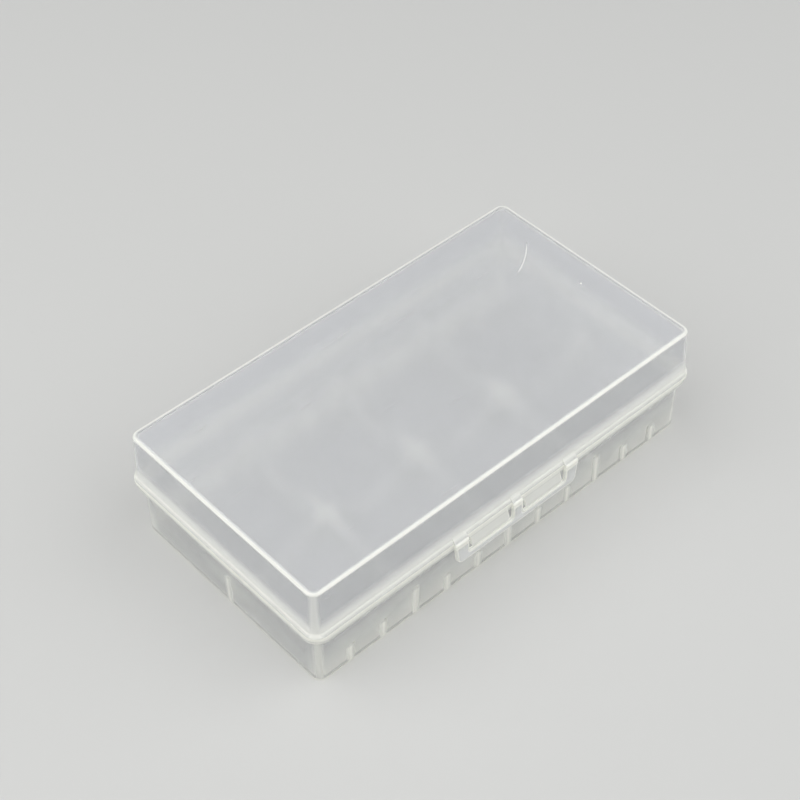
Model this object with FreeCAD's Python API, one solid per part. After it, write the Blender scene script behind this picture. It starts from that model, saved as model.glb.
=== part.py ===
# Hinged storage box for four large cylindrical cells, moulded in one shot of translucent polypropylene.
# A tray and a lid share a film hinge along the back, and a snap flap hangs from the front of the lid.
# The box is drawn closed. X runs along the hinge, -Y is the latch side, Z is up, and the origin is the
# middle of the bounding box at the level of the base. All lengths are in millimetres.
import FreeCAD, Part
import math
import os

from FreeCAD import Vector

os.makedirs("parts", exist_ok=True)

# Driving sizes of the two shells.
case_length = 152.0  # lid panel, outside, along X
case_width = 82.3  # lid panel, outside, along Y
tray_height = 22.2  # base to parting line
lid_depth = 18.8  # parting line to the top of the lid
wall = 1.1  # side walls of both shells
tray_floor = 1.3
lid_panel = 1.2
lid_draft = 0.8  # how much wider the lid is at its rim than at its panel, on each side
tray_draft = 0.4  # how much narrower the tray is at its base than at its rim, on each side
lid_corner = 3.0  # vertical corner radius at the lid panel
tray_corner = 4.0  # vertical corner radius that the tray's outlines are offset from
nest_clearance = 0.3  # between the tray's lip and the inside of the lid

# Rims.
lid_flange_reach = 0.75  # how far the lid's flange stands out of the lid's wall
lid_flange_height = 1.5
lid_shoulder = 1.0  # height of the sloping shoulder above the lid's flange
tray_flange_setback = 0.25  # the tray's flange is this much smaller than the lid's all round
tray_flange_height = 2.0
tray_flange_cove = 0.6  # thickening under the tray's flange
parting_chamfer = 0.2  # on both flanges, where they meet
lip_height = 2.0  # the tray's locating lip above the parting line
lip_lead = 0.4  # lead-in chamfer on the lip
base_radius = 1.0  # outer edge of the tray's base
base_inner_radius = 0.8
lid_edge_radius = 0.7  # outer edge of the lid's panel
lid_inner_radius = 0.5

# Layout of the tray: one bay for each cell, the cells lying along Y.
bay_count = 4
rib_thickness = 1.1
divider_height = 12.0  # from the base to the top of the dividers
divider_dip = 4.5  # depth of the finger dips in the dividers
divider_dip_span = 24.0
cradle_radius = 17.0  # radius of the cell that the middle web is scalloped for
cradle_lift = 0.8  # least height of the middle web above the floor
stop_depth = 4.2  # end stops, how far they stand in from the front and back walls
stop_height = 7.7  # from the base
stop_nose_radius = 3.0

# Latch flap, its webs and the two catches on the tray.
flap_width = 50.0
flap_taper = 0.8  # how much narrower the flap is at its foot, on each side
flap_drop = 7.8  # parting line to the foot of the flap
flap_thickness = 1.2
flap_corner = 2.2
flap_edge_chamfer = 0.25  # round the outer face of the flap
flap_lead = 0.5  # lead-in chamfer inside the flap's foot
window_width = 18.2
window_corner = 1.0
middle_web = 3.6
foot_bar = 2.6  # height of the bar under the windows
catch_end_gap = 1.5  # clear length at each end of a catch in its window
catch_foot_gap = 0.6  # clear height between a catch and the bar that hooks under it
catch_top_gap = 0.5  # from the parting line down to the top of a catch
catch_setback = 0.3  # how far a catch stays behind the face of the flap
catch_face = 1.6  # upright part of the catch, below its ramp
catch_corner = 1.2

# Film hinges.
film_thickness = 0.35  # lid hinge
film_leg = 0.65  # from the lid's flange to the hinge axis
strip_length = 44.0
strip_end_inset = 16.0  # from the end of the lid panel to the outer end of a strip
latch_film_thickness = 0.4
latch_film_height = 0.5

overrun = 2.0  # how far cutting tools run past what they cut

# Levels and offsets worked out from the sizes above. An offset is measured outwards from the outline of
# the lid panel.
case_height = tray_height + lid_depth
rim_offset = lid_draft
lid_flange_offset = rim_offset + lid_flange_reach
tray_flange_offset = lid_flange_offset - tray_flange_setback
tray_rim_offset = rim_offset - wall - nest_clearance
film_inner_radius = parting_chamfer
film_outer_radius = film_inner_radius + film_thickness
hinge_reach = film_leg + film_outer_radius  # how far the closed film stands out behind the lid's flange
centre_y = (flap_thickness - hinge_reach) / 2  # middle of the lid panel, so that the origin is central
front_face = centre_y - case_width / 2 - lid_flange_offset  # face of the lid's flange, latch side
back_face = centre_y + case_width / 2 + lid_flange_offset  # face of the lid's flange, hinge side
hinge_y = back_face + film_leg
latch_face = front_face - flap_thickness  # outer face of the flap


def outline(offset, height, corner):
    """Rounded rectangle grown by offset from the lid panel's outline, flat at the given height."""
    x = case_length / 2 + offset
    y = case_width / 2 + offset
    r = corner + offset
    k = r * (1 - math.sqrt(0.5))
    edges = []
    for turn in range(4):
        a, b = (x, y) if turn % 2 == 0 else (y, x)
        points = [
            Vector(a, r - b, 0),
            Vector(a, b - r, 0),
            Vector(a - k, b - k, 0),
            Vector(a - r, b, 0),
        ]
        spin = FreeCAD.Rotation(Vector(0, 0, 1), 90 * turn)
        p = [spin.multVec(v) + Vector(0, centre_y, height) for v in points]
        edges.append(Part.LineSegment(p[0], p[1]).toShape())
        edges.append(Part.Arc(p[1], p[2], p[3]).toShape())
    return Part.Wire(edges)


def stack(sections, corner):
    """Solid through the outlines at (offset, height), from the lowest up."""
    return Part.makeLoft([outline(offset, z, corner) for offset, z in sections], True, True)


def edges_at(shape, height):
    """The edges of a shape that lie flat at one height."""
    near = wall / 100
    return [e for e in shape.Edges if all(abs(v.Z - height) < near for v in e.Vertexes)]


def plate_x(points, x_low, x_high):
    """Solid with a profile given as (y, z) points, from one X to another."""
    wire = Part.makePolygon([Vector(x_low, y, z) for y, z in points + points[:1]])
    return Part.Face(wire).extrude(Vector(x_high - x_low, 0, 0))


def block(low, high):
    """Box between two corners."""
    return Part.makeBox(high[0] - low[0], high[1] - low[1], high[2] - low[2], Vector(*low))


def rounded_plate(x_low, x_high, z_low, z_high, y_low, y_high, radius, taper=0):
    """Plate facing Y, narrower by taper on each side at its foot, with its two lower corners rounded."""
    wire = Part.makePolygon(
        [
            Vector(x_low, y_low, z_high),
            Vector(x_low + taper, y_low, z_low),
            Vector(x_high - taper, y_low, z_low),
            Vector(x_high, y_low, z_high),
            Vector(x_low, y_low, z_high),
        ]
    )
    plate = Part.Face(wire).extrude(Vector(0, y_high - y_low, 0))
    near = wall / 100
    lower = [
        e
        for e in plate.Edges
        if all(abs(v.Z - z_low) < near for v in e.Vertexes)
        and abs(e.Vertexes[0].Y - e.Vertexes[1].Y) > near
    ]
    return plate.makeFillet(radius, lower)


def outer_rim(plate, face_y, open_height):
    """Edges round one upright face of a plate, without the one along its open end at the given height."""
    near = wall / 100
    return [
        e
        for e in plate.Edges
        if all(abs(v.Y - face_y) < near for v in e.Vertexes)
        and not all(abs(v.Z - open_height) < near for v in e.Vertexes)
    ]


def lid_wall_offset(height):
    """Outer offset of the lid's drafted wall at a height."""
    return lid_draft * (case_height - height) / lid_depth


def tray_wall_offset(height):
    """Outer offset of the tray's drafted wall at a height."""
    return tray_rim_offset - tray_draft * (tray_height - height) / tray_height


# Lid: a drafted shell with a shoulder and a flange at its rim, open downwards.
flange_top = tray_height + lid_flange_height
shoulder_top = flange_top + lid_shoulder
lid_skin = stack(
    [
        (lid_flange_offset - parting_chamfer, tray_height),
        (lid_flange_offset, tray_height + parting_chamfer),
        (lid_flange_offset, flange_top),
        (lid_wall_offset(shoulder_top), shoulder_top),
        (0, case_height),
    ],
    lid_corner,
)
lid_skin = lid_skin.makeFillet(lid_edge_radius, edges_at(lid_skin, case_height))
lid_ceiling = case_height - lid_panel
lid_hollow = stack(
    [
        (lid_wall_offset(tray_height - overrun) - wall, tray_height - overrun),
        (lid_wall_offset(lid_ceiling) - wall, lid_ceiling),
    ],
    lid_corner,
)
lid_hollow = lid_hollow.makeFillet(lid_inner_radius, edges_at(lid_hollow, lid_ceiling))
lid = lid_skin.cut(lid_hollow)

# Lands on the lid's flange that carry the three webs of the latch flap. Each one runs from the face of
# the flap up over the shoulder, so the rim line stops there.
side_web = (flap_width - middle_web - 2 * window_width) / 2
web_spans = [
    (-flap_width / 2, -flap_width / 2 + side_web),
    (-middle_web / 2, middle_web / 2),
    (flap_width / 2 - side_web, flap_width / 2),
]
land_root = centre_y - case_width / 2 - lid_wall_offset(shoulder_top)
land_profile = [
    (land_root + wall / 2, tray_height),
    (latch_face, tray_height),
    (latch_face, tray_height + lid_flange_height / 2),
    (front_face, flange_top + lid_shoulder / 2),
    (land_root, shoulder_top + lid_shoulder / 2),
    (land_root + wall / 2, shoulder_top + lid_shoulder / 2),
]
lands = [plate_x(land_profile, low, high) for low, high in web_spans]
lid = lid.fuse(lands).cut(lid_hollow).removeSplitter()

# Tray: a drafted shell whose wall runs on above the flange as the lip that locates the lid.
flange_foot = tray_height - tray_flange_height
lip_top = tray_height + lip_height
tray_skin = stack(
    [
        (tray_wall_offset(0), 0),
        (tray_rim_offset, tray_height),
        (tray_rim_offset, lip_top - lip_lead),
        (tray_rim_offset - lip_lead, lip_top),
    ],
    tray_corner,
)
tray_skin = tray_skin.makeFillet(base_radius, edges_at(tray_skin, 0))
tray_flange = stack(
    [
        (tray_flange_offset - parting_chamfer, flange_foot),
        (tray_flange_offset, flange_foot + parting_chamfer),
        (tray_flange_offset, tray_height - parting_chamfer),
        (tray_flange_offset - parting_chamfer, tray_height),
    ],
    tray_corner,
)
cove_foot = flange_foot - tray_flange_cove
flange_cove = stack(
    [
        (tray_wall_offset(cove_foot), cove_foot),
        (tray_wall_offset(cove_foot) + tray_flange_cove, flange_foot),
        (tray_wall_offset(cove_foot) + tray_flange_cove, flange_foot + parting_chamfer),
    ],
    tray_corner,
)

# Catches: two bars that grow out of the tray's front wall and flange into the windows of the flap. The
# underside is square, so the flap's foot bar hooks below it, and the top is a ramp for snapping shut.
flap_foot = tray_height - flap_drop
window_foot = flap_foot + foot_bar
catch_foot = window_foot + catch_foot_gap
catch_top = tray_height - catch_top_gap
catch_front = latch_face + catch_setback
catch_root = centre_y - case_width / 2 - tray_wall_offset(catch_foot) + wall / 2
window_middle = (middle_web + window_width) / 2
catch_half = window_width / 2 - catch_end_gap
catch_profile = [
    (catch_root, catch_foot),
    (catch_front, catch_foot),
    (catch_front, catch_foot + catch_face),
    (centre_y - case_width / 2 - tray_flange_offset, catch_top),
    (catch_root, catch_top),
]
catches = []
for side in (-1, 1):
    middle = side * window_middle
    bar = rounded_plate(
        middle - catch_half,
        middle + catch_half,
        catch_foot,
        catch_top + overrun,
        catch_front - overrun,
        catch_root + overrun,
        catch_corner,
    )
    catches.append(bar.common(plate_x(catch_profile, middle - window_width / 2, middle + window_width / 2)))

tray_block = tray_skin.fuse([tray_flange, flange_cove] + catches)
tray_hollow = stack(
    [
        (tray_wall_offset(tray_floor) - wall, tray_floor),
        (tray_rim_offset - wall, tray_height),
        (tray_rim_offset - wall, lip_top + overrun),
    ],
    tray_corner,
)
tray_hollow = tray_hollow.makeFillet(base_inner_radius, edges_at(tray_hollow, tray_floor))
tray = tray_block.cut(tray_hollow)

# Ribs inside the tray. Their ends are buried in the walls by half a wall.
inner_half_x = case_length / 2 + tray_wall_offset(tray_floor) - wall
inner_half_y = case_width / 2 + tray_wall_offset(tray_floor) - wall
bay_pitch = 2 * inner_half_x / bay_count
rib_root = wall / 2
floor_root = tray_floor / 2
half_rib = rib_thickness / 2

# Dividers between the bays, dipped on each side of the middle so that fingers reach the cells.
dip_radius = (divider_dip_span**2 / 4 + divider_dip**2) / (2 * divider_dip)
dividers = []
for place in range(1, bay_count):
    x = (place - bay_count / 2) * bay_pitch
    divider = block(
        (x - half_rib, centre_y - inner_half_y - rib_root, floor_root),
        (x + half_rib, centre_y + inner_half_y + rib_root, divider_height),
    )
    for side in (-1, 1):
        dip = Part.makeCylinder(
            dip_radius,
            rib_thickness + 2 * overrun,
            Vector(
                x - half_rib - overrun,
                centre_y + side * inner_half_y / 2,
                divider_height - divider_dip + dip_radius,
            ),
            Vector(1, 0, 0),
        )
        divider = divider.cut(dip)
    dividers.append(divider)

# Middle web across all the bays, scalloped under each cell so that it rises in a cusp at every divider.
middle_web_rib = block(
    (-inner_half_x - rib_root, centre_y - half_rib, floor_root),
    (inner_half_x + rib_root, centre_y + half_rib, divider_height),
)
for place in range(bay_count):
    scallop = Part.makeCylinder(
        cradle_radius,
        rib_thickness + 2 * overrun,
        Vector(
            (place + 0.5 - bay_count / 2) * bay_pitch,
            centre_y - half_rib - overrun,
            tray_floor + cradle_lift + cradle_radius,
        ),
        Vector(0, 1, 0),
    )
    middle_web_rib = middle_web_rib.cut(scallop)

# End stops: two to each bay on the front and back walls, at its thirds, with a rounded nose.
stops = []
nose = stop_nose_radius * (1 - math.sqrt(0.5))
for place in range(bay_count):
    for third in (1, 2):
        x = (place + third / 3 - bay_count / 2) * bay_pitch
        for side in (-1, 1):
            wall_y = centre_y + side * inner_half_y
            root_y = wall_y + side * rib_root
            tip_y = wall_y - side * stop_depth
            bend_y = tip_y + side * stop_nose_radius
            corners = [
                Vector(x - half_rib, root_y, floor_root),
                Vector(x - half_rib, tip_y, floor_root),
                Vector(x - half_rib, tip_y, stop_height - stop_nose_radius),
                Vector(x - half_rib, tip_y + side * nose, stop_height - nose),
                Vector(x - half_rib, bend_y, stop_height),
                Vector(x - half_rib, root_y, stop_height),
            ]
            edges = [
                Part.LineSegment(corners[0], corners[1]).toShape(),
                Part.LineSegment(corners[1], corners[2]).toShape(),
                Part.Arc(corners[2], corners[3], corners[4]).toShape(),
                Part.LineSegment(corners[4], corners[5]).toShape(),
                Part.LineSegment(corners[5], corners[0]).toShape(),
            ]
            face = Part.Face(Part.Wire(edges))
            stops.append(face.extrude(Vector(rib_thickness, 0, 0)))
tray = tray.fuse(dividers + [middle_web_rib] + stops).removeSplitter()

# Latch flap: a comb of three webs joined by a foot bar. Its two windows are open towards the lid.
flap_top = tray_height - latch_film_height
flap = rounded_plate(
    -flap_width / 2,
    flap_width / 2,
    flap_foot,
    flap_top,
    latch_face,
    front_face,
    flap_corner,
    flap_taper,
)
flap = flap.makeChamfer(flap_edge_chamfer, outer_rim(flap, latch_face, flap_top))
lead = plate_x(
    [
        (front_face - flap_lead, flap_foot),
        (front_face, flap_foot + flap_lead),
        (front_face + overrun, flap_foot + flap_lead),
        (front_face + overrun, flap_foot - overrun),
        (front_face - flap_lead, flap_foot - overrun),
    ],
    -flap_width / 2 - overrun,
    flap_width / 2 + overrun,
)
flap = flap.cut(lead)
for side in (-1, 1):
    window = rounded_plate(
        side * window_middle - window_width / 2,
        side * window_middle + window_width / 2,
        window_foot,
        flap_top + overrun,
        latch_face - overrun,
        front_face + overrun,
        window_corner,
    )
    flap = flap.cut(window)
latch_flap = flap.removeSplitter()

# Film hinge of the lid: two strips, each folded in a U between the edges of the two flanges.
tray_back_face = centre_y + case_width / 2 + tray_flange_offset


def film_strip(x_low, x_high):
    """One closed strip, from the edge of the tray's flange round to the edge of the lid's."""

    def at(y, rise):
        return Vector(x_low, y, tray_height + rise)

    inner = film_inner_radius
    outer = film_outer_radius
    edges = [
        Part.LineSegment(at(tray_back_face, -inner), at(tray_back_face, -outer)).toShape(),
        Part.LineSegment(at(tray_back_face, -outer), at(hinge_y, -outer)).toShape(),
        Part.Arc(at(hinge_y, -outer), at(hinge_y + outer, 0), at(hinge_y, outer)).toShape(),
        Part.LineSegment(at(hinge_y, outer), at(back_face, outer)).toShape(),
        Part.LineSegment(at(back_face, outer), at(back_face, inner)).toShape(),
        Part.LineSegment(at(back_face, inner), at(hinge_y, inner)).toShape(),
        Part.Arc(at(hinge_y, inner), at(hinge_y + inner, 0), at(hinge_y, -inner)).toShape(),
        Part.LineSegment(at(hinge_y, -inner), at(tray_back_face, -inner)).toShape(),
    ]
    return Part.Face(Part.Wire(edges)).extrude(Vector(x_high - x_low, 0, 0))


strip_middle = case_length / 2 - strip_end_inset - strip_length / 2
strips = [
    film_strip(side * strip_middle - strip_length / 2, side * strip_middle + strip_length / 2)
    for side in (-1, 1)
]

# Film hinges of the latch: a thin skin at the face of each web, between the lid's land and the flap.
web_skins = [
    block((low, latch_face, flap_top), (high, latch_face + latch_film_thickness, tray_height))
    for low, high in web_spans
]

nodes = {
    "tray": tray,
    "lid": lid,
    "latch_flap": latch_flap,
    "lid_hinge_film_left": strips[0],
    "lid_hinge_film_right": strips[1],
    "latch_hinge_film_left": web_skins[0],
    "latch_hinge_film_middle": web_skins[1],
    "latch_hinge_film_right": web_skins[2],
}
for name, shape in nodes.items():
    solid = shape.Solids[0] if len(shape.Solids) == 1 else shape
    solid.exportStep(f"parts/{name}.step")
    box = solid.BoundBox
    print(
        f"{name}: solids {len(shape.Solids)} valid {solid.isValid()} volume {solid.Volume:.1f} "
        f"box {box.XMin:.2f} {box.YMin:.2f} {box.ZMin:.2f} to {box.XMax:.2f} {box.YMax:.2f} {box.ZMax:.2f}"
    )
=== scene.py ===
# Looks of the hinged battery storage box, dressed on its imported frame. Lengths are in metres.
import math

import bmesh
import bpy
from mathutils import Matrix, Vector


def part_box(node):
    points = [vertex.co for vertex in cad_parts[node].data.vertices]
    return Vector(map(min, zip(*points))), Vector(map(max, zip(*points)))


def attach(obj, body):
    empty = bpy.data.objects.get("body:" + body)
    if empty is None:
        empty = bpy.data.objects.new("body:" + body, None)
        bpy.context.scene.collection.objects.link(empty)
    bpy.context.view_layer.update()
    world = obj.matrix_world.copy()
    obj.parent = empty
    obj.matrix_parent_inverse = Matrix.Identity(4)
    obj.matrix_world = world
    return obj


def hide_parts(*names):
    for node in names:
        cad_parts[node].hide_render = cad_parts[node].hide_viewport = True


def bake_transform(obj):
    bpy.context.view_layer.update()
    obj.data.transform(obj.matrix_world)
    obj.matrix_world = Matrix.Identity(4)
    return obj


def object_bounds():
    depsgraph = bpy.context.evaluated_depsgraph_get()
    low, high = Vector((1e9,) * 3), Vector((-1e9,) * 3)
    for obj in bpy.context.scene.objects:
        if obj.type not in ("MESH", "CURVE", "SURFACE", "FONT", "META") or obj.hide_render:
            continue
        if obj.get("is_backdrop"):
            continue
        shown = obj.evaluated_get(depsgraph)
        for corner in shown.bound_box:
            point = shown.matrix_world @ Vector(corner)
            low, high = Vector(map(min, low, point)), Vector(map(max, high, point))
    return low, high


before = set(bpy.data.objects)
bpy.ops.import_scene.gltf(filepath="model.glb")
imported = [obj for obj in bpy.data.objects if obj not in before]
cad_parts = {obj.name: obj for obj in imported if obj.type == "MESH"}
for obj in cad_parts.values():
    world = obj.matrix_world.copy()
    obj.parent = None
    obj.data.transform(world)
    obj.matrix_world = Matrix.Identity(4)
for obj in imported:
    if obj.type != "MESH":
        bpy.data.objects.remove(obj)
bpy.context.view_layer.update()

# Tray.
# The lower shell with its ribs, its locating lip and the two catches of the latch. It comes out of one
# mould with the lid and the flap, in unpigmented polypropylene, and every edge has the slight rounding
# that spark erosion leaves in a mould.
MM = 0.001
edge_rounding = 0.12 * MM
weld_distance = 0.03 * MM
sharp_edge = math.radians(28)
flat_enough = math.radians(0.6)


def mesh_from(bm, name):
    """Mesh with the faces of an edit mesh, which is freed."""
    mesh = bpy.data.meshes.new(name)
    bm.to_mesh(mesh)
    bm.free()
    return mesh


def put_in_scene(name, data):
    """Object at the origin that holds a mesh, a lamp or a camera."""
    thing = bpy.data.objects.new(name, data)
    bpy.context.scene.collection.objects.link(thing)
    return thing


def plain_mesh(piece):
    """Turns what a piece's modifiers make into its mesh, shaded smooth between sharp edges."""
    evaluated = piece.evaluated_get(bpy.context.evaluated_depsgraph_get())
    piece.data = bpy.data.meshes.new_from_object(evaluated)
    piece.modifiers.clear()
    piece.data.shade_smooth()
    piece.data.set_sharp_from_angle(angle=sharp_edge)


def moulded_copy(name, node_name, material):
    """A welded copy of one CAD solid, where the solid stands, with its edges rounded."""
    bm = bmesh.new()
    bm.from_mesh(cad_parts[node_name].data)
    bmesh.ops.remove_doubles(bm, verts=bm.verts, dist=weld_distance)
    bmesh.ops.dissolve_degenerate(bm, dist=weld_distance, edges=bm.edges)
    bmesh.ops.dissolve_limit(bm, angle_limit=flat_enough, verts=bm.verts, edges=bm.edges)
    piece = put_in_scene(name, mesh_from(bm, name))
    rounding = piece.modifiers.new("edge_rounding", "BEVEL")
    rounding.width = edge_rounding
    rounding.segments = 2
    rounding.limit_method = "ANGLE"
    rounding.angle_limit = sharp_edge
    plain_mesh(piece)
    piece.data.materials.append(material)
    return piece


def linear(hex_colour):
    """Linear colour of an sRGB hex value."""
    channels = [int(hex_colour[i : i + 2], 16) / 255 for i in (1, 3, 5)]
    return [c / 12.92 if c <= 0.04045 else ((c + 0.055) / 1.055) ** 2.4 for c in channels] + [1.0]


def add_node(tree, kind, settings=None):
    """A node of one kind. A setting is an attribute, a socket's value or the source of its link."""
    node = tree.nodes.new(kind)
    for key, value in (settings or {}).items():
        if isinstance(value, bpy.types.NodeSocket):
            tree.links.new(value, node.inputs[key])
        elif isinstance(key, str) and hasattr(node, key) and key not in node.inputs:
            setattr(node, key, value)
        else:
            node.inputs[key].default_value = value
    return node


# Natural polypropylene, injection moulded against a sandblasted cavity. Its crystals scatter light, so
# flat walls look like thin milk, and near ribs show through them sharply and far ones softly. Every edge,
# where the light gathers on its way along the wall, is painted nearly white as a highlight. The cool grey
# through the wall is the resin's own. The warm white is the colour of these painted highlights and also
# of the whiter wear marks.
cloud_size = 14.3 * MM
rub_size = (16.7 * MM, 0.526 * MM, 3.85 * MM)
rub_turn = (0.3, 0.2, 0.6)
rub_band = (0.74, 0.8)
rub_share = 0.06
edge_depth = 0.8 * MM
edge_band = (0.97, 0.8)
grain_size = 0.303 * MM
grain_height = 0.05 * MM
foot_height = 1.2 * MM
foot_rounding = 0.5 * MM


def natural_polypropylene(name, through, edges, clarity, painted_edge_glow, skin_grade=(0.2, 0.26), patches=None):
    """Material with its share of clear light, how strong the painted highlight at its edges is, and a
    maker of whiter patches. edges is the white of the painted highlights and of the wear marks.
    """
    material = bpy.data.materials.new(name)
    material.use_nodes = True
    tree = material.node_tree
    tree.nodes.clear()
    place = add_node(tree, "ShaderNodeTexCoord").outputs["Object"]
    # Clouds of slightly denser haze, about 14 mm across, from uneven cooling.
    clouds = add_node(
        tree,
        "ShaderNodeTexNoise",
        {"Vector": place, "Scale": 1 / cloud_size, "Detail": 3.0, "Roughness": 0.55},
    ).outputs["Fac"]
    # Rub marks along the box, real ones 0.05 mm wide and drawn 0.25 mm wide, half a cell of the noise, so
    # that they show. The turn comes after the stretch, so it picks the marks and not their direction.
    rub_place = add_node(
        tree,
        "ShaderNodeMapping",
        {"Vector": place, "Rotation": rub_turn, "Scale": [1 / size for size in rub_size]},
    ).outputs["Vector"]
    rubs = add_node(
        tree, "ShaderNodeTexNoise", {"Vector": rub_place, "Scale": 1.0, "Detail": 1.0}
    ).outputs["Fac"]
    # Every outer edge and rib top gets a painted highlight, whiter and less clear: rays sent 0.8 mm
    # inwards there soon meet another face, and in the middle of a wall they do not.
    clear_inside = add_node(
        tree,
        "ShaderNodeAmbientOcclusion",
        {"samples": 8, "inside": True, "only_local": True, "Distance": edge_depth},
    ).outputs["AO"]
    # A patch is a share, which says how much whiter it makes the plastic, and bands that have to hold
    # together. A band is a value, where it starts and where it is full. The whitest patch shows. The rub
    # marks, the scratch and the grit are wear, and every other patch is a painted highlight.
    all_patches = [(rub_share, [(rubs, *rub_band)]), (painted_edge_glow, [(clear_inside, *edge_band)])]
    if patches:
        all_patches += patches(tree, place)
    wear_and_painted_glow = 0.0
    for patch, bands in all_patches:
        for value, start, full in bands:
            band = add_node(
                tree, "ShaderNodeMapRange", {"Value": value, "From Min": start, "From Max": full}
            ).outputs["Result"]
            patch = add_node(
                tree, "ShaderNodeMath", {"operation": "MULTIPLY", 0: patch, 1: band}
            ).outputs["Value"]
        wear_and_painted_glow = add_node(
            tree, "ShaderNodeMath", {"operation": "MAXIMUM", 0: wear_and_painted_glow, 1: patch}
        ).outputs["Value"]
    colour = add_node(
        tree,
        "ShaderNodeMix",
        {"data_type": "RGBA", 0: wear_and_painted_glow, "A": linear(through), "B": linear(edges)},
    ).outputs["Result"]
    clear_share = add_node(
        tree, "ShaderNodeMapRange", {"Value": wear_and_painted_glow, "To Min": clarity, "To Max": 0.0}
    ).outputs["Result"]
    glossiest, dullest = skin_grade
    skin_roughness = add_node(
        tree,
        "ShaderNodeMapRange",
        {"Value": clouds, "From Min": 0.35, "From Max": 0.65, "To Min": glossiest, "To Max": dullest},
    ).outputs["Result"]
    # The blasted skin has grains of 0.05 mm, drawn 0.3 mm across.
    grain = add_node(
        tree, "ShaderNodeTexNoise", {"Vector": place, "Scale": 1 / grain_size, "Detail": 1.0}
    ).outputs["Fac"]
    frosting = add_node(
        tree, "ShaderNodeBump", {"Height": grain, "Strength": 0.03, "Distance": grain_height}
    ).outputs["Normal"]
    skin = add_node(
        tree,
        "ShaderNodeBsdfPrincipled",
        {
            "IOR": 1.49,
            "Base Color": colour,
            "Roughness": skin_roughness,
            "Transmission Weight": clear_share,
            "Normal": frosting,
        },
    ).outputs["BSDF"]
    # A twentieth of the light from behind comes through a wall fully scattered, and more at an edge.
    # Light that has run down the walls leaves at the rounded foot.
    through_wall = add_node(
        tree, "ShaderNodeMapRange", {"Value": wear_and_painted_glow, "To Min": 0.05, "To Max": 0.3}
    ).outputs["Result"]
    height = add_node(tree, "ShaderNodeSeparateXYZ", {0: place}).outputs["Z"]
    through_foot = add_node(
        tree,
        "ShaderNodeMapRange",
        {"Value": height, "From Min": foot_height, "From Max": foot_rounding, "To Max": 0.9},
    ).outputs["Result"]
    scattered = add_node(
        tree, "ShaderNodeMath", {"operation": "MAXIMUM", 0: through_wall, 1: through_foot}
    ).outputs["Value"]
    milk = add_node(tree, "ShaderNodeBsdfTranslucent", {"Color": linear(edges)}).outputs["BSDF"]
    wall = add_node(tree, "ShaderNodeMixShader", {0: scattered, 1: skin, 2: milk}).outputs["Shader"]
    # Lamps shine through the shell onto what is inside it, weakened by each face that they pass.
    passing = add_node(tree, "ShaderNodeBsdfTransparent", {"Color": linear("#E2E2E2")}).outputs["BSDF"]
    lamp_ray = add_node(tree, "ShaderNodeLightPath").outputs["Is Shadow Ray"]
    seen = add_node(tree, "ShaderNodeMixShader", {0: lamp_ray, 1: wall, 2: passing}).outputs["Shader"]
    add_node(tree, "ShaderNodeOutputMaterial", {"Surface": seen})
    return material


bay_pitch = 37.8 * MM
rib_half = 0.55 * MM
divider_top = 12.0 * MM
stop_top = 7.7 * MM
floor_top = 1.3 * MM
cavity_half_x = 74.2 * MM
cavity_half_y = 39.35 * MM
flange_face_y = -42.45 * MM
# Where each painted highlight of the tray starts and where it is full. These are heights over the base,
# or distances from a rib's middle, from a crossing, or from the middle of the box. One that ends at a
# face is full 0.3 mm from it, and one that ends at a rib's top goes from 0.6 mm over it to 1 mm below it.
patch_depth = 0.3 * MM
floor_gap = 0.05 * MM
flange_gap = 0.1 * MM
rib_top_haze = 0.6 * MM
rib_top_core = 1.0 * MM
rib_side = (rib_half + 1.3 * MM, rib_half - 0.4 * MM)
crossing_spread = (17.0 * MM, 1.0 * MM)
crossing_rise = (4.0 * MM, 11.0 * MM)
divider_end = (33.0 * MM, 39.0 * MM)
flange_from_below = (20.3 * MM, 21.5 * MM)
flange_from_above = (23.5 * MM, 22.3 * MM)
column_along_x = (72.5 * MM, 75.0 * MM)
column_along_y = (38.0 * MM, 40.0 * MM)
foot_fade = (foot_height, 0.4 * foot_height)


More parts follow.
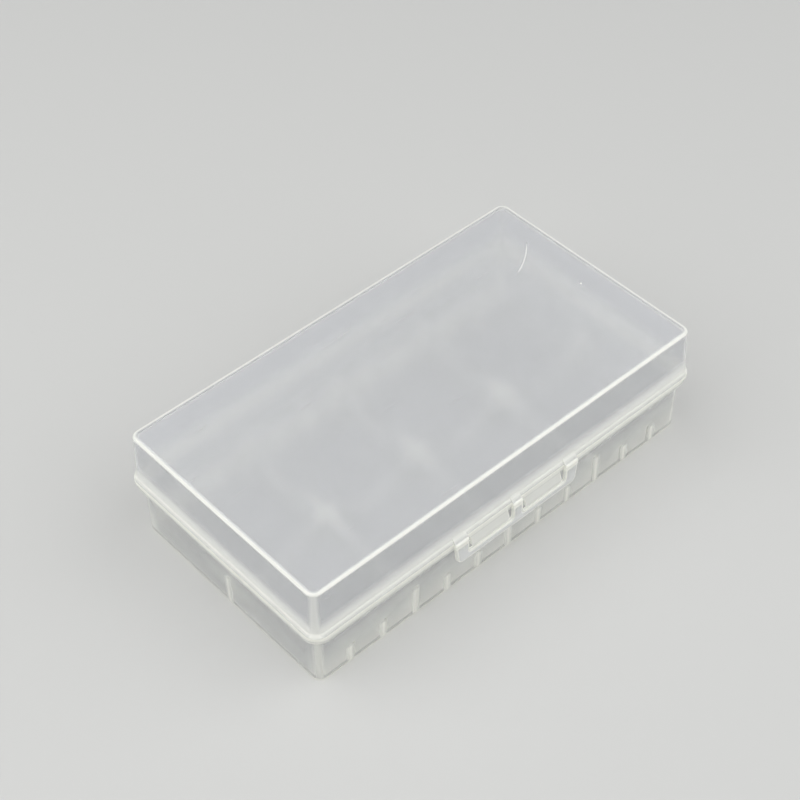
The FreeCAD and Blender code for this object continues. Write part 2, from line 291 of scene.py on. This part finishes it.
def tray_painted_highlights(tree, place):
    """Painted highlights of the tray: whiter rib roots, ribs, catches, flange, corner columns and foot.
    """
    x, y, z = add_node(tree, "ShaderNodeSeparateXYZ", {0: place}).outputs
    off_middle = add_node(
        tree, "ShaderNodeVectorMath", {"operation": "ABSOLUTE", 0: place}
    ).outputs["Vector"]
    far_x, far_y, _ = add_node(tree, "ShaderNodeSeparateXYZ", {0: off_middle}).outputs
    off_divider, off_stop = [
        add_node(tree, "ShaderNodeMath", {"operation": "PINGPONG", 0: x, 1: spacing / 2}).outputs["Value"]
        for spacing in (bay_pitch, bay_pitch / 3)
    ]
    # A rib seen end on, through the wall it grows from, gets a painted highlight as a white bar.
    rib_roots = [
        (
            0.75,
            [
                (off_rib, *rib_side),
                (z, top + rib_top_haze, top - rib_top_core),
                (towards_wall, wall_face, wall_face + patch_depth),
            ],
        )
        for off_rib, top, towards_wall, wall_face in (
            (off_divider, divider_top, far_y, cavity_half_y),
            (off_stop, stop_top, far_y, cavity_half_y),
            (far_y, divider_top, far_x, cavity_half_x),
        )
    ]
    in_cavity = [
        (far_x, cavity_half_x, cavity_half_x - patch_depth),
        (far_y, cavity_half_y, cavity_half_y - patch_depth),
        (z, floor_top + floor_gap, floor_top + patch_depth),
    ]
    towards = add_node(tree, "ShaderNodeCombineXYZ", {"X": off_divider, "Y": far_y}).outputs["Vector"]
    off_crossing = add_node(
        tree, "ShaderNodeVectorMath", {"operation": "LENGTH", 0: towards}
    ).outputs["Value"]
    return rib_roots + [
        # The ribs inside the cavity are met on both faces and get a painted highlight, as though denser
        # than a wall, strongest where two of them cross and where they meet the wall.
        (0.15, in_cavity),
        (0.95, in_cavity + [(off_crossing, *crossing_spread), (z, *crossing_rise)]),
        (0.9, in_cavity + [(far_y, *divider_end)]),
        # Painted highlights on solid places: the catches, the flange with the lip behind it, the vertical
        # corners, which are seen edge on, and the foot.
        (0.7, [(y, flange_face_y - flange_gap, flange_face_y - patch_depth)]),
        (0.8, [(z, *flange_from_below), (z, *flange_from_above)]),
        (0.5, [(far_x, *column_along_x), (far_y, *column_along_y)]),
        (1.0, [(z, *foot_fade)]),
    ]


# The tray's edges get a painted highlight of strength 0.85, and its patches are painted highlights too.
tray_plastic = natural_polypropylene(
    "frosted_polypropylene_tray", "#E3E4E5", "#FAFAF3", 0.86, 0.85, (0.18, 0.23), tray_painted_highlights
)
tray = moulded_copy("tray_shell", "tray", tray_plastic)
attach(tray, "tray")
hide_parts("tray")


# Lid.
# The upper shell, drawn 19 mm deep, with a shoulder and a flange at its rim and three lands that carry
# the latch. Its panel is the face that gets handled, so it has a curved scratch and a chip of grit.
lid_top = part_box("lid")[1][2]
panel_half_x = 76.0 * MM
panel_half_y = 41.15 * MM
panel_corner = 3.0 * MM
# Half of the rectangle that joins the centres of the panel's rounded corners, with no limit in height.
panel_core = Vector((panel_half_x - panel_corner, panel_half_y - panel_corner, 1.0))
panel_border = (panel_corner - 1.4 * MM, panel_corner - 0.5 * MM)
border_rise = (lid_top - 0.8 * MM, lid_top - 0.4 * MM)
corner_edge = (0.7 * MM, 1.8 * MM)
lip_from_above = (29.5 * MM, 25.2 * MM)
lip_from_below = (23.5 * MM, 24.5 * MM)
rim_from_above = (23.7 * MM, 23.3 * MM)
rim_from_below = (22.2 * MM, 22.5 * MM)
scratch_points = [
    Vector((x * MM, y * MM, lid_top)) for x, y in ((68.0, 22.0), (62.2, 16.9), (56.0, 13.7))
]
scratch_edge = 0.26 * MM
scratch_core = 0.05 * MM
scratch_end = (8.2 * MM, 4.5 * MM)
grit = Vector((66.6 * MM, -3.5 * MM, lid_top))
grit_edge = (0.55 * MM, 0.2 * MM)


def circle_through(a, b, c):
    """Centre of the level circle through three points."""
    ab, ac = b - a, c - a
    turn = 2 * (ab.x * ac.y - ab.y * ac.x)
    x = (ac.y * ab.length_squared - ab.y * ac.length_squared) / turn
    y = (ab.x * ac.length_squared - ac.x * ab.length_squared) / turn
    return a + Vector((x, y, 0))


scratch_centre = circle_through(*scratch_points)
scratch_radius = (scratch_centre - scratch_points[0]).length


def lid_painted_highlights_and_wear(tree, place):
    """Whiter places of the lid: painted highlights on the border of the panel, the corners, the wall and
    the flange, and a real scratch and grit.
    """
    z = add_node(tree, "ShaderNodeSeparateXYZ", {0: place}).outputs["Z"]
    off_core = add_node(
        tree, "ShaderNodeVectorMath", {"operation": "ABSOLUTE", 0: place}
    ).outputs["Vector"]
    for operation, amount in (("SUBTRACT", panel_core), ("MAXIMUM", (0.0, 0.0, 0.0))):
        off_core = add_node(
            tree, "ShaderNodeVectorMath", {"operation": operation, 0: off_core, 1: amount}
        ).outputs["Vector"]
    out_x, out_y, _ = add_node(tree, "ShaderNodeSeparateXYZ", {0: off_core}).outputs
    outwards = add_node(
        tree, "ShaderNodeVectorMath", {"operation": "LENGTH", 0: off_core}
    ).outputs["Value"]
    off_centre, along, to_grit = [
        add_node(
            tree, "ShaderNodeVectorMath", {"operation": "DISTANCE", 0: place, 1: point}
        ).outputs["Value"]
        for point in (scratch_centre, scratch_points[1], grit)
    ]
    return [
        # The rounded border of the panel and the vertical corners are seen edge on, and get a painted
        # highlight.
        (0.92, [(outwards, *panel_border), (z, *border_rise)]),
        (0.5, [(out_x, *corner_edge), (out_y, *corner_edge)]),
        # Light gathers in the solid flange and, softly, in the wall over the tray's lip.
        (0.5, [(z, *lip_from_above), (z, *lip_from_below)]),
        (0.95, [(z, *rim_from_above), (z, *rim_from_below)]),
        # A scratch on an arc, and a chip of grit that has been pressed in.
        (
            0.5,
            [
                (off_centre, scratch_radius - scratch_edge, scratch_radius - scratch_core),
                (off_centre, scratch_radius + scratch_edge, scratch_radius + scratch_core),
                (along, *scratch_end),
            ],
        ),
        (0.8, [(to_grit, *grit_edge)]),
    ]


# The lid's edges get a painted highlight of strength 0.45.
lid_plastic = natural_polypropylene(
    "frosted_polypropylene_lid", "#E5E6E9", "#FAFAF3", 0.8, 0.45, (0.21, 0.265), lid_painted_highlights_and_wear
)
lid = moulded_copy("lid_shell", "lid", lid_plastic)
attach(lid, "lid")
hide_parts("lid")


# Latch flap.
# The comb-shaped snap flap, a 1.2 mm plate of the same shot with two windows. Its foot is thumbed at
# every opening, and flexing has turned the thin plate whiter than the shells.
# Its edges get a painted highlight of strength 0.95.
flap_plastic = natural_polypropylene("rubbed_polypropylene_flap", "#F0F1F1", "#FBFBF2", 0.55, 0.95)
flap = moulded_copy("latch_comb", "latch_flap", flap_plastic)
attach(flap, "latch")
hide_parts("latch_flap")


# Hinge films of the lid.
# Two strips 0.35 mm thick, folded in a U behind the flanges. They are moulded thin and flexed hot from
# the mould, which lines up the polymer and whitens the fold.
film_low, film_high = (Vector(corner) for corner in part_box("lid_hinge_film_right"))
film_thickness = 0.35 * MM
film_root = 0.12 * MM
fold_steps = 12
parting = (film_low.z + film_high.z) / 2
fold_radius = (film_high.z - film_low.z - film_thickness) / 2
hinge_y = film_high.y - fold_radius - film_thickness / 2

bend = bpy.data.node_groups.new("folded_strips", "GeometryNodeTree")
for way in ("INPUT", "OUTPUT"):
    bend.interface.new_socket("Geometry", in_out=way, socket_type="NodeSocketGeometry")
strip_inputs = {}
for size_name, size in (
    ("Fold Radius", fold_radius),
    ("Thickness", film_thickness),
    ("Strip Length", film_high.x - film_low.x),
    ("Strip Middle", (film_low.x + film_high.x) / 2),
):
    size_input = bend.interface.new_socket(size_name, in_out="INPUT", socket_type="NodeSocketFloat")
    size_input.default_value = size
    strip_inputs[size_input.identifier] = size
inlet = add_node(bend, "NodeGroupInput").outputs
route = add_node(bend, "GeometryNodeMeshToCurve", {"Mesh": inlet["Geometry"]}).outputs["Curve"]
rounded = add_node(
    bend,
    "GeometryNodeFilletCurve",
    {"mode": "POLY", "Count": fold_steps, "Curve": route, "Radius": inlet["Fold Radius"]},
).outputs["Curve"]
section = add_node(
    bend,
    "GeometryNodeCurvePrimitiveQuadrilateral",
    {"Width": inlet["Strip Length"], "Height": inlet["Thickness"]},
).outputs["Curve"]
swept = add_node(
    bend, "GeometryNodeCurveToMesh", {"Fill Caps": True, "Curve": rounded, "Profile Curve": section}
).outputs["Mesh"]
left_middle = add_node(
    bend, "ShaderNodeMath", {"operation": "MULTIPLY", 0: inlet["Strip Middle"], 1: -1.0}
).outputs["Value"]
pair = add_node(bend, "GeometryNodeJoinGeometry")
for middle in (inlet["Strip Middle"], left_middle):
    offset = add_node(bend, "ShaderNodeCombineXYZ", {"X": middle}).outputs["Vector"]
    strip = add_node(bend, "GeometryNodeTransform", {"Geometry": swept, "Translation": offset})
    bend.links.new(strip.outputs["Geometry"], pair.inputs["Geometry"])
real = add_node(
    bend, "GeometryNodeRealizeInstances", {"Geometry": pair.outputs["Geometry"]}
).outputs["Geometry"]
# The films' edges get a painted highlight of strength 0.95.
film_plastic = natural_polypropylene("flexed_polypropylene_film", "#F4F5F2", "#FBFBF4", 0.3, 0.95)
dressed = add_node(
    bend, "GeometryNodeSetMaterial", {"Material": film_plastic, "Geometry": real}
).outputs["Geometry"]
add_node(bend, "NodeGroupOutput", {"Geometry": dressed})

route_mesh = bpy.data.meshes.new("lid_hinge_films")
root_y = film_low.y - film_root
fold_y = hinge_y + fold_radius
route_mesh.from_pydata(
    [
        (0, root_y, parting - fold_radius),
        (0, fold_y, parting - fold_radius),
        (0, fold_y, parting + fold_radius),
        (0, root_y, parting + fold_radius),
    ],
    [(0, 1), (1, 2), (2, 3)],
    [],
)
strips = put_in_scene("lid_hinge_films", route_mesh)
sweep = strips.modifiers.new("folded_strips", "NODES")
sweep.node_group = bend
for identifier, size in strip_inputs.items():
    sweep[identifier] = size
plain_mesh(strips)
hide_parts("lid_hinge_film_left", "lid_hinge_film_right")
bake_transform(strips)


# Hinge films of the latch.
# Three skins 0.4 mm thick at the front of the webs, where the flap flexes out to snap over the catches.
# The mould pinches each one, so it waists by a tenth of its thickness at the middle.
skin_nodes = ["latch_hinge_film_left", "latch_hinge_film_middle", "latch_hinge_film_right"]
skin_rows = 8
skin_root = 0.15 * MM
waist_share = 0.1
bm = bmesh.new()
for node_name in skin_nodes:
    low, high = (Vector(corner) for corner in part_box(node_name))
    low.z -= skin_root
    high.z += skin_root
    rings = []
    for row in range(skin_rows + 1):
        z = low.z + (high.z - low.z) * row / skin_rows
        back_y = high.y - waist_share * (high.y - low.y) * math.sin(math.pi * row / skin_rows)
        corners = ((low.x, low.y), (high.x, low.y), (high.x, back_y), (low.x, back_y))
        rings.append([bm.verts.new((x, y, z)) for x, y in corners])
    for lower, upper in zip(rings, rings[1:]):
        for i in range(4):
            j = (i + 1) % 4
            bm.faces.new((lower[i], lower[j], upper[j], upper[i]))
    bm.faces.new(rings[0][::-1])
    bm.faces.new(rings[-1])
bmesh.ops.recalc_face_normals(bm, faces=bm.faces)
skins = put_in_scene("latch_hinge_films", mesh_from(bm, "latch_hinge_films"))
skins.data.materials.append(film_plastic)
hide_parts(*skin_nodes)
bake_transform(skins)


# Floor and backdrop.
# One pale card lies under the box and bends up behind it. The box presses 0.02 mm into it, because light
# that comes down through the base can't tell two faces apart that lie at one level.
card_level = 0.02 * MM
card_reach = 3.0
bend_radius = 0.6
bend_steps = 16
profile = [(-card_reach, card_level), (card_reach - bend_radius, card_level)]
for i in range(1, bend_steps + 1):
    angle = math.pi / 2 * i / bend_steps
    profile.append(
        (
            card_reach - bend_radius + bend_radius * math.sin(angle),
            card_level + bend_radius * (1 - math.cos(angle)),
        )
    )
profile.append((card_reach, card_reach))
bm = bmesh.new()
left, right = ([bm.verts.new((side * card_reach, y, z)) for y, z in profile] for side in (-1, 1))
for i in range(len(profile) - 1):
    bm.faces.new((left[i], left[i + 1], right[i + 1], right[i]))
bmesh.ops.recalc_face_normals(bm, faces=bm.faces)
floor = put_in_scene("floor", mesh_from(bm, "floor"))
floor.data.shade_smooth()


def seeing_rays(tree):
    """1 for rays of the eye, of mirrors and through plastic, and 0 for those that carry light."""
    rays = add_node(tree, "ShaderNodeLightPath").outputs
    seeing = rays["Is Camera Ray"]
    for kind in ("Is Glossy Ray", "Is Transmission Ray"):
        seeing = add_node(
            tree, "ShaderNodeMath", {"operation": "MAXIMUM", 0: seeing, 1: rays[kind]}
        ).outputs["Value"]
    return seeing


# Matt coated card. Beyond the lamps' reach it shows the same pale grey all the way, with no horizon.
far_grey = "#D8D8D6"
lit_reach = 0.35
far_reach = 1.0
card = bpy.data.materials.new("pale_card")
card.use_nodes = True
card_tree = card.node_tree
card_tree.nodes.clear()
lit_card = add_node(
    card_tree, "ShaderNodeBsdfPrincipled", {"Base Color": linear("#C4C4C2"), "Roughness": 0.9}
).outputs["BSDF"]
far_card = add_node(card_tree, "ShaderNodeEmission", {"Color": linear(far_grey)}).outputs["Emission"]
card_place = add_node(card_tree, "ShaderNodeTexCoord").outputs["Object"]
reach = add_node(
    card_tree, "ShaderNodeVectorMath", {"operation": "LENGTH", 0: card_place}
).outputs["Value"]
far = add_node(
    card_tree, "ShaderNodeMapRange", {"Value": reach, "From Min": lit_reach, "From Max": far_reach}
).outputs["Result"]
far_share = add_node(
    card_tree, "ShaderNodeMath", {"operation": "MULTIPLY", 0: far, 1: seeing_rays(card_tree)}
).outputs["Value"]
card_look = add_node(
    card_tree, "ShaderNodeMixShader", {0: far_share, 1: lit_card, 2: far_card}
).outputs["Shader"]
add_node(card_tree, "ShaderNodeOutputMaterial", {"Surface": card_look})
floor.data.materials.append(card)
floor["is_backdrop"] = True


# Light.
# An even sky lights the box from all round, and shows as the card's own far grey. Two soft boxes 1.3 m
# across stand 1 m off: the key high on the left and a little behind, the fill high on the front right.
world = bpy.data.worlds.new("studio")
bpy.context.scene.world = world
world.use_nodes = True
sky_tree = world.node_tree
sky_tree.nodes.clear()
sky, room = [
    add_node(
        sky_tree, "ShaderNodeBackground", {"Color": linear(hex_colour), "Strength": strength}
    ).outputs["Background"]
    for hex_colour, strength in (("#F2F4F6", 0.45), (far_grey, 1.0))
]
surround = add_node(
    sky_tree, "ShaderNodeMixShader", {0: seeing_rays(sky_tree), 1: sky, 2: room}
).outputs["Shader"]
add_node(sky_tree, "ShaderNodeOutputWorld", {"Surface": surround})

soft_box_size = 1.3
soft_box_aim = Vector((0, 0, 0.02))
for lamp_name, lamp_place, power in (
    ("key_light", (-0.58, 0.26, 0.84), 9.6),
    ("fill_light", (0.42, -0.62, 0.74), 7.4),
):
    lamp = bpy.data.lights.new(lamp_name, "AREA")
    lamp.shape = "SQUARE"
    lamp.size = soft_box_size
    lamp.energy = power
    soft_box = put_in_scene(lamp_name, lamp)
    soft_box.location = lamp_place
    soft_box.rotation_euler = (soft_box_aim - soft_box.location).to_track_quat("-Z", "Y").to_euler()


# Camera.
# It stands to the front left of the box, looks down on it at 46 degrees, and leans over by a degree.
camera_place = Vector((-0.26666, -0.29348, 0.44425))
camera_aim = Vector((0.00314, 0.01124, 0.0222))
camera_roll = math.radians(-1.09)
camera_data = bpy.data.cameras.new("camera")
camera_data.sensor_width = 36.0
camera_data.lens = 85.5
camera = put_in_scene("camera", camera_data)
look = (camera_aim - camera_place).to_track_quat("-Z", "Y").to_matrix().to_4x4()
camera.matrix_world = Matrix.Translation(camera_place) @ look @ Matrix.Rotation(camera_roll, 4, "Z")
bpy.context.scene.camera = camera
bpy.context.scene.view_settings.view_transform = "Standard"

low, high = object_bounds()
